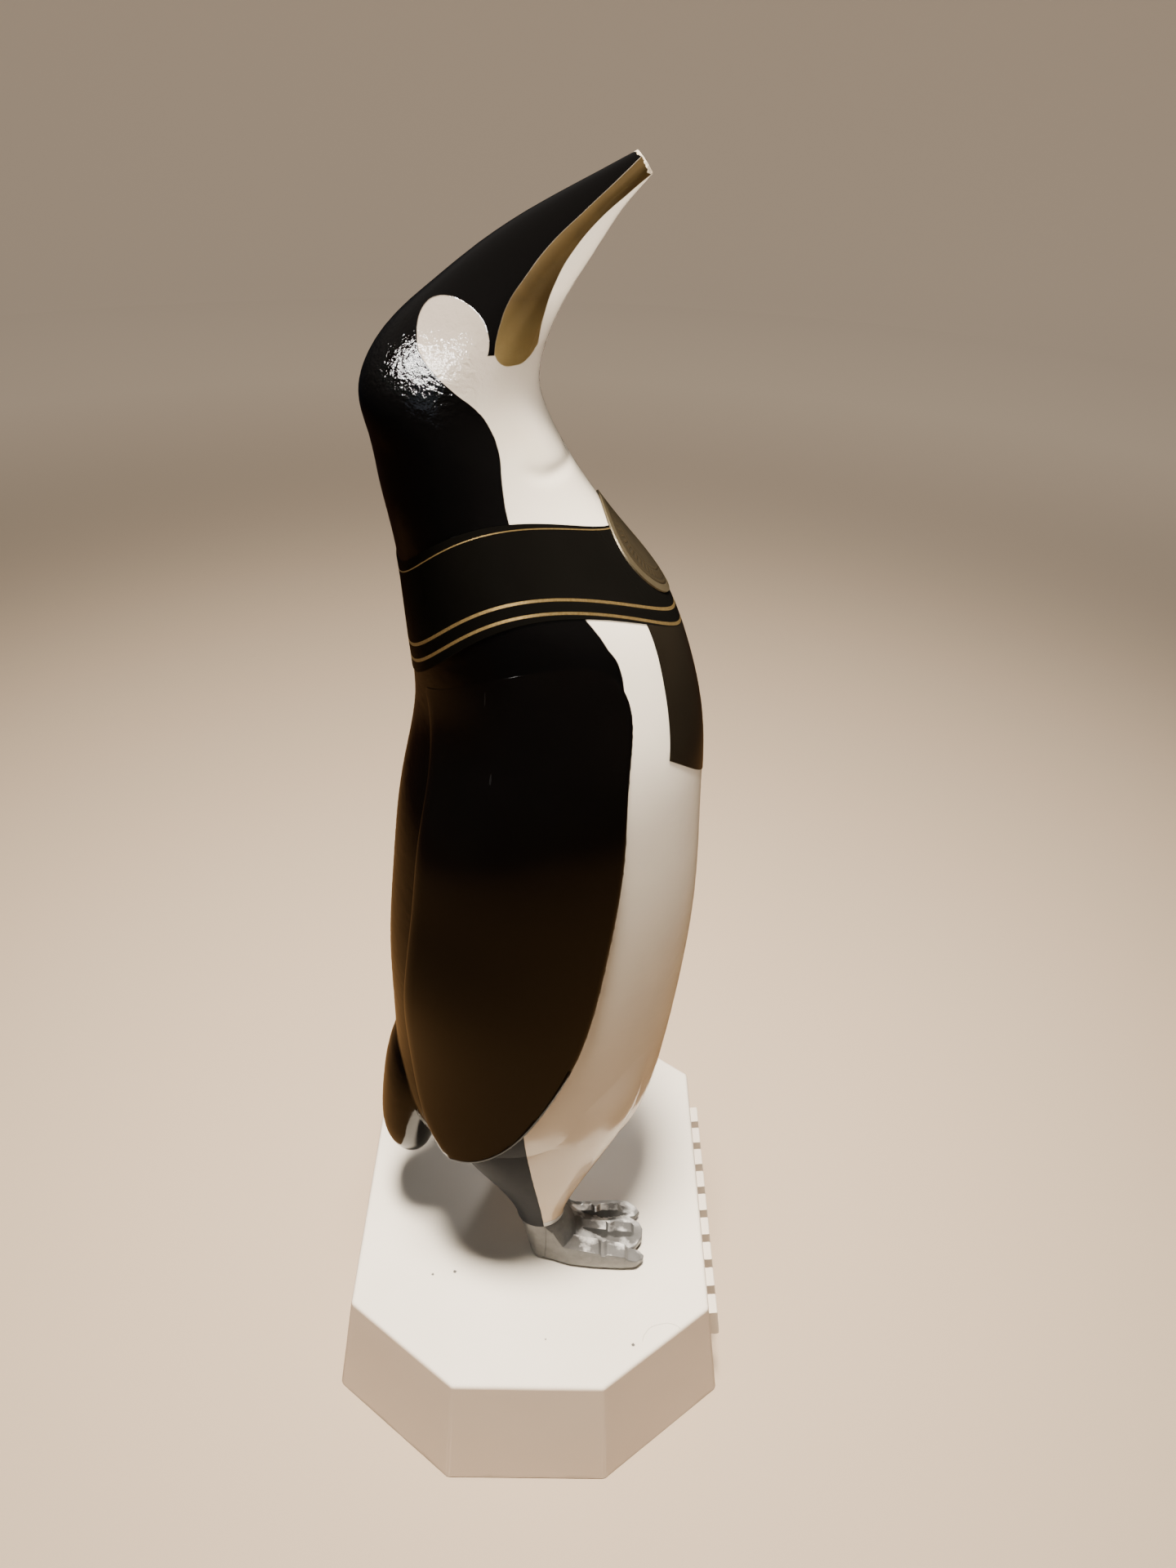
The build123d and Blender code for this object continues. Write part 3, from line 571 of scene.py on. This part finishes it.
def spline(knots, values, at):
    """Natural cubic spline through rows of values."""
    count = len(knots)
    h = np.diff(knots)
    left = np.eye(count)
    right = np.zeros_like(values)
    for i in range(1, count - 1):
        left[i, i - 1:i + 2] = h[i - 1], 2.0 * (h[i - 1] + h[i]), h[i]
        right[i] = 6.0 * ((values[i + 1] - values[i]) / h[i] - (values[i] - values[i - 1]) / h[i - 1])
    bend = np.linalg.solve(left, right)
    k = np.clip(np.searchsorted(knots, at) - 1, 0, count - 2)
    gap = h[k][..., None]
    d = (at - knots[k])[..., None]
    e = gap - d
    curve = (bend[k] * e ** 3 + bend[k + 1] * d ** 3) / (6.0 * gap)
    low = (values[k] / gap - bend[k] * gap / 6.0) * e
    high = (values[k + 1] / gap - bend[k + 1] * gap / 6.0) * d
    return curve + low + high


# Stations of a flipper's outer face, low to high: back x, back z, front x, front z, half width, stand-off
FLIPPER_SKIN = np.array((
    (-43.5, 46.0, 40.0, 38.0, 42.4, 0.0),
    (-43.8, 62.0, 40.5, 54.0, 42.3, 0.0),
    (-44.0, 78.0, 41.0, 70.0, 42.0, 0.0),
    (-44.8, 95.0, 43.0, 87.0, 42.2, 0.0),
    (-42.0, 113.3, 41.3, 105.7, 38.5, 3.9),
    (-39.4, 142.4, 42.4, 136.1, 39.0, 3.0),
    (-35.6, 169.9, 40.9, 166.6, 38.5, 2.8),
    (-31.4, 192.5, 38.9, 188.9, 37.0, 2.2),
    (-32.1, 209.2, 34.1, 206.5, 34.5, 1.0),
    (-33.2, 224.8, 26.4, 222.9, 31.0, 0.6),
    (-34.5, 235.6, 17.5, 234.0, 27.0, 0.6)))
FLIPPER_BACK = ((220.0, 7.0), (194.2, 14.3), (176.5, 19.4), (147.0, 21.4), (117.0, 21.4), (100.0, 20.0),
                (82.0, 20.0), (66.0, 23.5), (54.0, 30.5))   # z and y of the rear edge
FREE_THICKNESS = 4.6            # where the plate hangs clear of the body
FRONT_ROLL = 1.7                # width of the rounded front edge
REAR_ROLL = 5.5
TOP_FADE = 48.0                 # the top sinks into the body over this length
SATIN_BELOW = 100.0             # the lower front edge isn't glossy


def dense(points, count=400):
    """Smooth curve through points, evenly spaced."""
    points = np.array(points)
    knots = np.concatenate([[0.0], np.cumsum(np.hypot(*np.diff(points, axis=0).T))])
    return spline(knots, points, np.linspace(0.0, knots[-1], count))


class Skin:
    """Outer face of a flipper: a place on it is a height along the stations and an angle round them."""

    def __init__(self):
        back_x, back_z, front_x, front_z, wide, off = FLIPPER_SKIN.T
        run = np.hypot(front_x - back_x, front_z - back_z)
        middle = np.column_stack([back_x + front_x, back_z + front_z]) / 2.0
        self.knots = np.concatenate([[0.0], np.cumsum(np.hypot(*np.diff(middle, axis=0).T))])
        thickness = np.where(off == 0.0, FREE_THICKNESS, off)
        self.rows = np.column_stack([middle, (front_x - back_x) / run, (front_z - back_z) / run,
                                     run / 2.0 + off, wide + off, thickness])

    def at(self, v, t, inward=0.0):
        row = spline(self.knots, self.rows, v)
        depth = (row[..., 4] - inward) * np.cos(t)
        return np.stack([row[..., 0] + depth * row[..., 2], (row[..., 5] - inward) * np.sin(t),
                         row[..., 1] + depth * row[..., 3]], -1)

    def find(self, z, x=None, y=None):
        """Height and angle of places given by z and either x or, on the rear side, y."""
        v = np.interp(z, self.rows[:, 1], self.knots)
        for _ in range(60):
            row = spline(self.knots, self.rows, v)
            if y is None:
                t = np.arccos(np.clip((x - row[:, 0]) / (row[:, 4] * row[:, 2]), -1.0, 1.0))
            else:
                t = math.pi - np.arcsin(np.clip(y / row[:, 5], -1.0, 1.0))
            v = v + 0.8 * (z - row[:, 1] - row[:, 4] * np.cos(t) * row[:, 3])
        return np.column_stack([v, t])


def even(skin, path, count):
    """A path on the skin with its points evenly spaced."""
    points = skin.at(path[:, 0], path[:, 1])
    reach = np.concatenate([[0.0], np.cumsum(np.linalg.norm(np.diff(points, axis=0), axis=1))])
    at = np.linspace(0.0, reach[-1], count)
    return np.column_stack([np.interp(at, reach, path[:, 0]), np.interp(at, reach, path[:, 1])])


def flipper(side, name, material, edge_material):
    """Curved leaf on the skin, with rounded edges and a top that runs out on the shoulder."""
    skin = Skin()
    edge = dense(FLIPPER_EDGE)
    on_edge = skin.find(edge[:, 1], x=edge[:, 0])
    back = dense(FLIPPER_BACK)
    on_back = skin.find(back[:, 0], y=back[:, 1])
    edge_y = skin.at(on_edge[:, 0], on_edge[:, 1])[:, 1]
    back_y = np.interp(edge[:, 1], back[::-1, 0], back[::-1, 1])
    outside = np.nonzero(edge_y > back_y)[0]
    first, last = outside[0], outside[-1]
    corner = int(np.argmax(edge[:, 0] * 0.8 + edge[:, 1]))
    top = on_edge[first:corner + 1]
    front = on_edge[corner:last + 1][::-1]
    low_z, high_z = edge[last, 1], edge[first, 1]
    keep = (back[:, 0] > low_z + 0.5) & (back[:, 0] < high_z - 0.5)
    rear = np.vstack([on_edge[last], on_back[keep][::-1], on_edge[first]])

    rows, columns, steps, chunk = 150, 64, 600, 500
    w = np.sin(np.linspace(0.0, 0.5 * math.pi, rows)) * 0.5 + np.linspace(0.0, 1.0, rows) * 0.5
    w = np.clip(w, 0.0, 1.0) ** 1.35
    b = 0.5 - 0.5 * np.cos(np.linspace(0.0, math.pi, columns))
    rear = even(skin, rear, steps)
    front = even(skin, front, steps)
    top = even(skin, top, steps)
    share = np.linspace(0.0, 1.0, steps)
    left = np.column_stack([np.interp(w, share, rear[:, k]) for k in (0, 1)])[:, None, :]
    right = np.column_stack([np.interp(w, share, front[:, k]) for k in (0, 1)])[:, None, :]
    over = np.column_stack([np.interp(b, share, top[:, k]) for k in (0, 1)])[None, :, :]
    tip = rear[0]
    w3, b3 = w[:, None, None], b[None, :, None]
    patch = (1 - w3) * tip + w3 * over + (1 - b3) * left + b3 * right
    patch -= (1 - w3) * tip + (1 - b3) * w3 * over[:, :1] + b3 * w3 * over[:, -1:]
    v, t = patch[..., 0], patch[..., 1]

    flat = skin.at(v, t)
    places = flat.reshape(-1, 3)

    def away(path):
        line = skin.at(path[:, 0], path[:, 1])
        gaps = []
        for k in range(0, len(places), chunk):
            gaps.append(np.linalg.norm(places[k:k + chunk, None, :] - line[None], axis=-1).min(1))
        return np.concatenate(gaps).reshape(v.shape)

    thick = np.clip(spline(skin.knots, skin.rows, v)[..., 6] - 0.1, 0.5, 3.6)
    front_roll = np.clip(away(front) / FRONT_ROLL, 0.0, 1.0)
    roll = np.minimum(front_roll, np.clip(away(rear) / REAR_ROLL, 0.0, 1.0))
    drop = 0.5 * thick * (1.0 - np.sqrt(1.0 - (1.0 - roll) ** 2))
    rise = np.clip(away(top) / TOP_FADE, 0.0, 1.0)
    sink = (1.0 - rise * rise * (3.0 - 2.0 * rise)) * (thick - 0.08)
    outer = skin.at(v, t, drop + sink)
    inner = skin.at(v, t, np.maximum(thick - drop, drop + sink + 0.1))
    points = np.vstack([outer.reshape(-1, 3), inner.reshape(-1, 3)])
    points[:, 1] *= side
    count = rows * columns
    faces = grid_faces(rows, columns, 0, side > 0) + grid_faces(rows, columns, count, side < 0)
    rim = [i * columns for i in range(rows)] + [(rows - 1) * columns + j for j in range(1, columns)]
    rim += [i * columns + columns - 1 for i in range(rows - 2, -1, -1)]
    walls = band_faces(rim, [k + count for k in rim])
    faces += [q[::-1] for q in walls] if side > 0 else walls
    leaf = piece(name + "_leaf", points, faces, material, 60.0)
    leaf.data.materials.append(edge_material)
    satin = np.tile(front_roll.ravel() < 0.95, 2) & (points[:, 2] < SATIN_BELOW)
    for face in leaf.data.polygons:
        face.material_index = int(satin[list(face.vertices)].any())
    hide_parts(name)


# Feet about the ankle's axis: outlines outward and inward as x and y, and the toes' reach as y and x
FOOT_OUTER = ((-6.8, 0.8), (-6.3, 2.4), (-4.6, 4.7), (-2.0, 6.0), (0.0, 6.3), (4.0, 7.2), (9.4, 9.0),
              (16.6, 9.9), (25.6, 10.4), (30.0, 10.1), (33.0, 9.0))
FOOT_INNER = ((-6.8, 0.8), (-6.3, 2.4), (-4.6, 4.7), (-2.0, 6.0), (0.0, 6.5), (3.0, 8.2), (6.0, 10.4),
              (9.2, 11.8), (16.0, 12.4), (25.0, 12.6), (29.0, 12.3), (33.0, 10.6))
FOOT_FRONT = ((-10.3, 30.4), (-9.3, 32.4), (-8.2, 32.7), (-6.4, 31.4), (-4.8, 28.6), (-3.6, 30.8),
              (-1.6, 32.4), (1.6, 32.7), (4.2, 31.8), (5.4, 30.4), (6.4, 28.9), (7.6, 30.8), (9.8, 32.2),
              (11.4, 31.2), (12.6, 28.4))

# Heights of the foot as x and z. Each toe: y at root and tip, half width there, height, joint shift
INSTEP = ((4.0, 18.0), (7.0, 13.2), (10.0, 10.2), (14.0, 8.0), (20.0, 5.2))
WEB = ((6.0, 5.2), (14.0, 3.6), (28.0, 2.2), (33.0, 1.5))
TOE_BACK = ((7.0, 8.3), (10.0, 8.5), (18.4, 7.5), (19.2, 6.2), (20.2, 6.3), (21.2, 7.2), (26.6, 6.3),
            (27.6, 5.0), (31.0, 3.8), (33.0, 2.6))
TOES = ((-4.6, -7.4, 2.7, 2.9, 1.12, 0.0), (1.0, 0.9, 3.0, 3.9, 1.0, 2.6), (6.3, 9.4, 2.7, 3.0, 1.0, -1.6))
TOE_ROOT_X = 7.0
TOE_LENGTH = 25.0
TOE_SLOPE = 4.4
ANKLE_SLOPE = 13.0
INSTEP_BOW = (1.2, 0.045)       # y of its crest, and how it falls off with the square of the distance
HEEL_TUCK = (4.6, 10.0)         # how far the heel is drawn in below, and over which length
SKIRT = ((0.25, 0.93), (0.3, 0.6), (0.1, 0.25), (-0.2, 0.12), (-1.0, 0.04), (-1.8, 0.0))    # push out, level
ANKLE_HALF = (6.8, 6.3)
ANKLE_TOP = 18.0
ANKLE_AT = (-1.2, 24.5)
FOOT_SPLAY = math.radians(7.0)
CUFF_HALF = (6.55, 6.0)
CUFF_BEAD = (0.95, 1.1)
CUFF_LIFT = 1.15


def along(table, x):
    """Values at x of a line through points."""
    keys, values = np.array(table).T
    return np.interp(x, keys, values)


def foot_top(x, y):
    """Height of the foot's upper side: ankle, instep, web and three toes of two bones and a claw each."""
    ring = np.hypot(x / ANKLE_HALF[0], y / ANKLE_HALF[1])
    height = ANKLE_TOP - ANKLE_SLOPE * np.clip(ring - 1.0, 0.0, 1.1)
    instep = along(INSTEP, x) - INSTEP_BOW[1] * (y - INSTEP_BOW[0]) ** 2
    height = np.maximum(height, np.minimum(instep, ANKLE_TOP))
    height = np.maximum(height, along(WEB, x))
    for root, tip, root_half, tip_half, tall, joint in TOES:
        share = (x - TOE_ROOT_X) / TOE_LENGTH
        off = y - root - (tip - root) * share
        outward = (off < 0.0) & (root == TOES[0][0])
        off = np.where(outward, 0.0, np.abs(off)) / (root_half + (tip_half - root_half) * share)
        ridge = tall * along(TOE_BACK, x - joint) - TOE_SLOPE * np.clip((off - 0.45) / 0.55, 0.0, 1.3)
        height = np.maximum(height, np.where(x > 5.0, ridge, 0.0))
    return np.minimum(height, ANKLE_TOP)


def foot(side, name, material):
    """Upper side as a grid over the outline, and a skirt from its edge down to the sole."""
    rows, columns = 110, 92
    a, b = np.meshgrid(np.linspace(0.0, 1.0, rows), np.linspace(0.0, 1.0, columns), indexing="ij")
    across = FOOT_FRONT[0][0] + b * (FOOT_FRONT[-1][0] - FOOT_FRONT[0][0])
    heel = FOOT_OUTER[0][0]
    x = heel + a * (along(FOOT_FRONT, across) - heel)
    outer, inner = along(FOOT_OUTER, x), along(FOOT_INNER, x)
    y = -outer + b * (outer + inner)
    top = np.stack([x, y, foot_top(x, y)], -1)
    rim = [i * columns for i in range(rows)] + [(rows - 1) * columns + j for j in range(1, columns)]
    rim += [i * columns + columns - 1 for i in range(rows - 2, -1, -1)] + list(range(columns - 2, 0, -1))
    edge = top.reshape(-1, 3)[rim]
    ahead = np.roll(edge, -2, axis=0)[:, :2] - np.roll(edge, 2, axis=0)[:, :2]
    out = np.column_stack([ahead[:, 1], -ahead[:, 0]])
    out /= np.linalg.norm(out, axis=1, keepdims=True) + 1e-9
    if (out * (edge[:, :2] - edge[:, :2].mean(0))).sum() < 0.0:
        out = -out
    tuck = HEEL_TUCK[0] * (1.0 - np.clip((edge[:, 0] - heel) / HEEL_TUCK[1], 0.0, 1.0)) ** 2
    loops = []
    for push, level in SKIRT:
        ring = edge.copy()
        ring[:, :2] += out * push
        ring[:, 0] += tuck * (1.0 - level)
        ring[:, 1] *= 1.0 - 0.03 * tuck * (1.0 - level)
        ring[:, 2] = edge[:, 2] * level if level > 0.3 else 8.0 * level
        loops.append(ring)
    points = np.vstack([top.reshape(-1, 3), *loops, [[14.0, 1.0, 0.0]]])
    count = rows * columns
    faces = grid_faces(rows, columns, 0, True)
    above = rim
    for k in range(len(loops)):
        below = [count + k * len(rim) + n for n in range(len(rim))]
        faces += band_faces(above, below)
        above = below
    last = len(points) - 1
    faces += [(above[(n + 1) % len(rim)], above[n], last)[::-1] for n in range(len(rim))]
    x, y, z = points.T
    turn = FOOT_SPLAY
    placed = np.column_stack([x * math.cos(turn) + y * math.sin(turn),
                              -x * math.sin(turn) + y * math.cos(turn), z])
    placed += (ANKLE_AT[0], -ANKLE_AT[1], 0.02)
    if side > 0:
        placed[:, 1] *= -1.0
        faces = [f[::-1] for f in faces]
    webbed = piece(name + "_webbed", placed, faces, material, 32.0)
    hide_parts(name)


def ankle_cuff(side, name, material):
    """Rounded lower rim of a leg, round the top of the foot."""
    points, faces = [], []
    turns, beads = 72, 14
    for i in range(turns):
        t = 2.0 * math.pi * i / turns
        for j in range(beads):
            p = 2.0 * math.pi * j / beads
            swell = CUFF_BEAD[0] * math.cos(p)
            points.append((ANKLE_AT[0] + (CUFF_HALF[0] + swell) * math.cos(t),
                           side * ANKLE_AT[1] + (CUFF_HALF[1] + swell) * math.sin(t),
                           ANKLE_TOP + CUFF_LIFT + CUFF_BEAD[1] * math.sin(p)))
    for i in range(turns):
        for j in range(beads):
            i2, j2 = (i + 1) % turns, (j + 1) % beads
            faces.append((i * beads + j, i2 * beads + j, i2 * beads + j2, i * beads + j2))
    piece(name, points, faces, material, 60.0)


def dress(material, *names):
    for name in names:
        mesh = nodes[name].data
        mesh.materials.clear()
        mesh.materials.append(material)


LEG_BELOW_Z = 86.0
LEG_AHEAD_OF_X = -31.0


def is_leg(place):
    """Whether a face of the rear moulding is on the satin grey of a leg."""
    x, y, z = (1000.0 * c for c in place)
    return z - DECK_MM < LEG_BELOW_Z and x * math.cos(TURN) + y * math.sin(TURN) > LEG_AHEAD_OF_X


paint = figure_paint("figure_paint", 0.5)
leg_paint = figure_paint("leg_paint", 0.06)
lacquer = flipper_lacquer("flipper_lacquer", 0.45)
edge_lacquer = flipper_lacquer("flipper_edge", 0.05)
silver = silver_paint()
dress(paint, "belly_shell", "back_shell")
back = nodes["back_shell"].data
back.materials.append(leg_paint)
for face in back.polygons:
    face.material_index = int(is_leg(face.center))
dress(lacquer, "right_flipper", "left_flipper")
# The walls get the full painted shade, the blocks a part of it
dress(plinth_plastic("plinth_plastic", 1.0), "base_shell")
dress(plinth_plastic("block_plastic", 0.3), "front_dentil_blocks")
dress(silver, "right_foot", "left_foot")
dress(label_print(True), "collar_band")
dress(label_print(False), "chest_panel")
dress(gold_foil(), "chest_seal")
dress(plain("board", (0.30, 0.20, 0.12), (0.22, 0.14, 0.08), 3.0, 0.6, 0.0, 0.05), "base_bottom_plate")
dress(plain("felt", (0.03, 0.07, 0.045), (0.05, 0.10, 0.065), 0.8, 0.85, 0.0, 0.2), "base_felt")
dress(plain("zinc_steel", (0.55, 0.55, 0.56), (0.45, 0.45, 0.46), 2.0, 0.3, 1.0, 0.01),
      "bottom_plate_screws", "foot_screws", "foot_washers")
dress(plain("beech", (0.62, 0.46, 0.29), (0.50, 0.35, 0.2), 2.0, 0.6, 0.0, 0.05), "shell_dowels")
for hand, word in ((-1.0, "right"), (1.0, "left")):
    flipper(hand, word + "_flipper", lacquer, edge_lacquer)
    foot(hand, word + "_foot", silver)
    ankle_cuff(hand, word + "_ankle_cuff", leg_paint)


# Stage: a pale floor that sweeps up behind, soft lights and the camera

GLOW = (0.42, 0.34, 0.26)
GLOW_STRENGTH = 0.42
GLOW_FROM = (350.0, 1050.0)     # radii in millimetres where the floor starts to glow and glows fully
FLOOR_TINT = (0.42, 0.33, 0.24)
FLOOR_ROUGHNESS = 0.75
FLOOR_RADIUS = 1.4
BACKDROP_BEND = 0.7
BACKDROP_TOP = 3.2
WARM = (1.0, 0.91, 0.80)
COOL = (0.62, 0.76, 1.0)
NEUTRAL = (1.0, 0.97, 0.93)
HEAD_AT = (-0.02, -0.01, 0.315)
SPARKLE_COUNT = 5
SPARKLE_AWAY = 1.2


def turned(name, profile, material):
    """Round stage piece with a profile of radius and height, in metres."""
    count = 96
    points, faces = [], []
    for radius, height in profile:
        for k in range(count):
            turn = 2.0 * math.pi * k / count
            points.append((radius * math.cos(turn), radius * math.sin(turn), height))
    for i in range(len(profile) - 1):
        low = list(range(i * count, (i + 1) * count))
        faces += band_faces([k + count for k in low], low)
    mesh = bpy.data.meshes.new(name)
    mesh.from_pydata(points, [], faces)
    mesh.shade_smooth()
    mesh.materials.append(material)
    thing = bpy.data.objects.new(name, mesh)
    bpy.context.scene.collection.objects.link(thing)
    thing.visible_glossy = False
    return thing


def sweep():
    """Pale floor that curves up into a backdrop all round; the backdrop itself sheds no light."""
    sh = Shader("floor")
    x, y, _ = sh.part()
    glow = sh.math("POWER", sh.span(sh.reach(x, y), *GLOW_FROM), 1.1)
    sh.set(Base_Color=FLOOR_TINT, Roughness=FLOOR_ROUGHNESS, Emission_Color=GLOW)
    sh.set(Emission_Strength=sh.mul(glow, GLOW_STRENGTH))
    turned("floor", [(r, 0.0) for r in (0.02, 0.3, 0.6, 1.0, FLOOR_RADIUS)], sh.material)
    rise = []
    for k in range(16):
        turn = math.radians(6.0 * k)
        rise.append((FLOOR_RADIUS + BACKDROP_BEND * math.sin(turn), BACKDROP_BEND * (1.0 - math.cos(turn))))
    sh = Shader("backdrop")
    sh.set(Base_Color=FLOOR_TINT, Roughness=FLOOR_ROUGHNESS)
    sh.set(Emission_Color=GLOW, Emission_Strength=GLOW_STRENGTH)
    wall = turned("backdrop", rise + [(FLOOR_RADIUS + BACKDROP_BEND, BACKDROP_TOP)], sh.material)
    wall.visible_diffuse = False
    wall.visible_shadow = False


# Colours of the lowest and the highest direction, and between them by share of the way up
WORLD_LOW = (0.46, 0.25, 0.10)
WORLD_HIGH = (0.11, 0.105, 0.10)
WORLD_STOPS = ((0.14, (0.40, 0.20, 0.07)), (0.27, (0.03, 0.012, 0.006)), (0.36, (0.006, 0.006, 0.008)),
               (0.5, (0.02, 0.02, 0.022)), (0.62, (0.09, 0.085, 0.08)))


def studio_world():
    """Soft grey above, dark at the horizon and a warm brown below, which the glossy pieces mirror."""
    world = bpy.data.worlds.new("studio")
    bpy.context.scene.world = world
    world.use_nodes = True
    tree = world.node_tree
    coords = tree.nodes.new("ShaderNodeTexCoord")
    split = tree.nodes.new("ShaderNodeSeparateXYZ")
    ramp = tree.nodes.new("ShaderNodeValToRGB")
    span = tree.nodes.new("ShaderNodeMapRange")
    span.inputs["From Min"].default_value = -1.0
    tree.links.new(coords.outputs["Generated"], split.inputs["Vector"])
    tree.links.new(split.outputs["Z"], span.inputs["Value"])
    tree.links.new(span.outputs["Result"], ramp.inputs["Fac"])
    tree.links.new(ramp.outputs["Color"], tree.nodes["Background"].inputs["Color"])
    stops = ramp.color_ramp.elements
    stops[0].position = 0.0
    stops[0].color = (*WORLD_LOW, 1.0)
    stops[1].position = 1.0
    stops[1].color = (*WORLD_HIGH, 1.0)
    for place, colour in WORLD_STOPS:
        stops.new(place).color = (*colour, 1.0)


def area_light(name, place, target, size, power, colour, spread=180.0, mirrored=True, lit=True):
    """Soft panel aimed at a target. It can be left out of mirror images, or light nothing else."""
    light = bpy.data.lights.new(name, "AREA")
    light.shape = "RECTANGLE"
    light.size = size[0]
    light.size_y = size[1]
    light.energy = power
    light.spread = math.radians(spread)
    light.color = colour
    lamp = bpy.data.objects.new(name, light)
    lamp.location = place
    lamp.visible_camera = False
    lamp.visible_glossy = mirrored
    lamp.visible_diffuse = lit
    lamp.rotation_euler = (Vector(target) - Vector(place)).to_track_quat("-Z", "Y").to_euler()
    bpy.context.scene.collection.objects.link(lamp)


CAMERA_TURN = (35.3, 1.8, -2.6)             # pitch, yaw and roll in degrees
CAMERA_AT = (0.00396, -0.24948, 0.34089)    # in metres above the deck
CAMERA_LENS = 27.04
CAMERA_SENSOR = 36.0


def photo_camera():
    """Camera at the photograph's viewing angle: its axes from pitch, yaw and roll."""
    pitch, yaw, roll = (math.radians(a) for a in CAMERA_TURN)
    forward = Vector((math.sin(yaw), math.cos(yaw), 0.0))
    right = Vector((math.cos(yaw), -math.sin(yaw), 0.0))
    up = Vector((0.0, 0.0, 1.0))
    look = forward * math.cos(pitch) - up * math.sin(pitch)
    down = -(up * math.cos(pitch) + forward * math.sin(pitch))
    across = right * math.cos(roll) + down * math.sin(roll)
    below = -right * math.sin(roll) + down * math.cos(roll)
    turn = Matrix((across, -below, -look)).transposed().to_4x4()
    data = bpy.data.cameras.new("photo_camera")
    data.sensor_fit = "VERTICAL"
    data.sensor_height = CAMERA_SENSOR
    data.lens = CAMERA_LENS
    data.clip_start = 0.01
    camera = bpy.data.objects.new("photo_camera", data)
    place = Matrix.Translation((CAMERA_AT[0], CAMERA_AT[1], CAMERA_AT[2] + DECK_MM / 1000.0))
    camera.matrix_world = place @ turn
    bpy.context.scene.collection.objects.link(camera)
    bpy.context.scene.camera = camera


def sparkle_lights():
    """Panels on an arc round the head, which only its gloss mirrors."""
    for k in range(SPARKLE_COUNT):
        turn = math.radians(-168.0 + 15.4 * k)
        rise = math.radians(31.0 - 2.2 * k)
        flat = SPARKLE_AWAY * math.cos(rise)
        place = (flat * math.cos(turn), flat * math.sin(turn), HEAD_AT[2] + SPARKLE_AWAY * math.sin(rise))
        area_light(f"sparkle_{k}", place, HEAD_AT, (0.33, 0.11), 0.46, NEUTRAL, 24.0, lit=False)


def studio_lights():
    area_light("ceiling", (-0.03, -0.14, 1.65), (0.0, 0.02, 0.1), (0.28, 0.28), 6.8, WARM, 42.0,
               mirrored=False)
    area_light("fill", (-0.69, -0.93, 0.87), (0.0, 0.0, 0.32), (0.75, 0.36), 0.27, WARM, 36.0, mirrored=False)
    area_light("bounce", (0.60, 0.30, 0.34), (0.0, 0.0, 0.38), (0.5, 0.4), 0.15, WARM, 42.0, mirrored=False)
    area_light("bill_fill", (0.45, -0.42, 0.20), (0.0, 0.0, 0.34), (0.15, 0.15), 0.14, WARM, 20.0,
               mirrored=False)
    sparkle_lights()
    area_light("toe_glint", (0.04, 0.55, 0.50), (0.012, -0.025, 0.05), (0.10, 0.04), 0.03, WARM, 12.0,
               lit=False)
    area_light("sky_glow", (-0.60, -1.03, 0.45), (0.0, 0.0, 0.31), (0.7, 0.16), 0.2, COOL, lit=False)
    area_light("backdrop", (0.0, 0.5, 1.1), (0.0, 1.8, 0.45), (1.6, 0.4), 11.0, WARM, mirrored=False)


sweep()
studio_world()
studio_lights()
photo_camera()
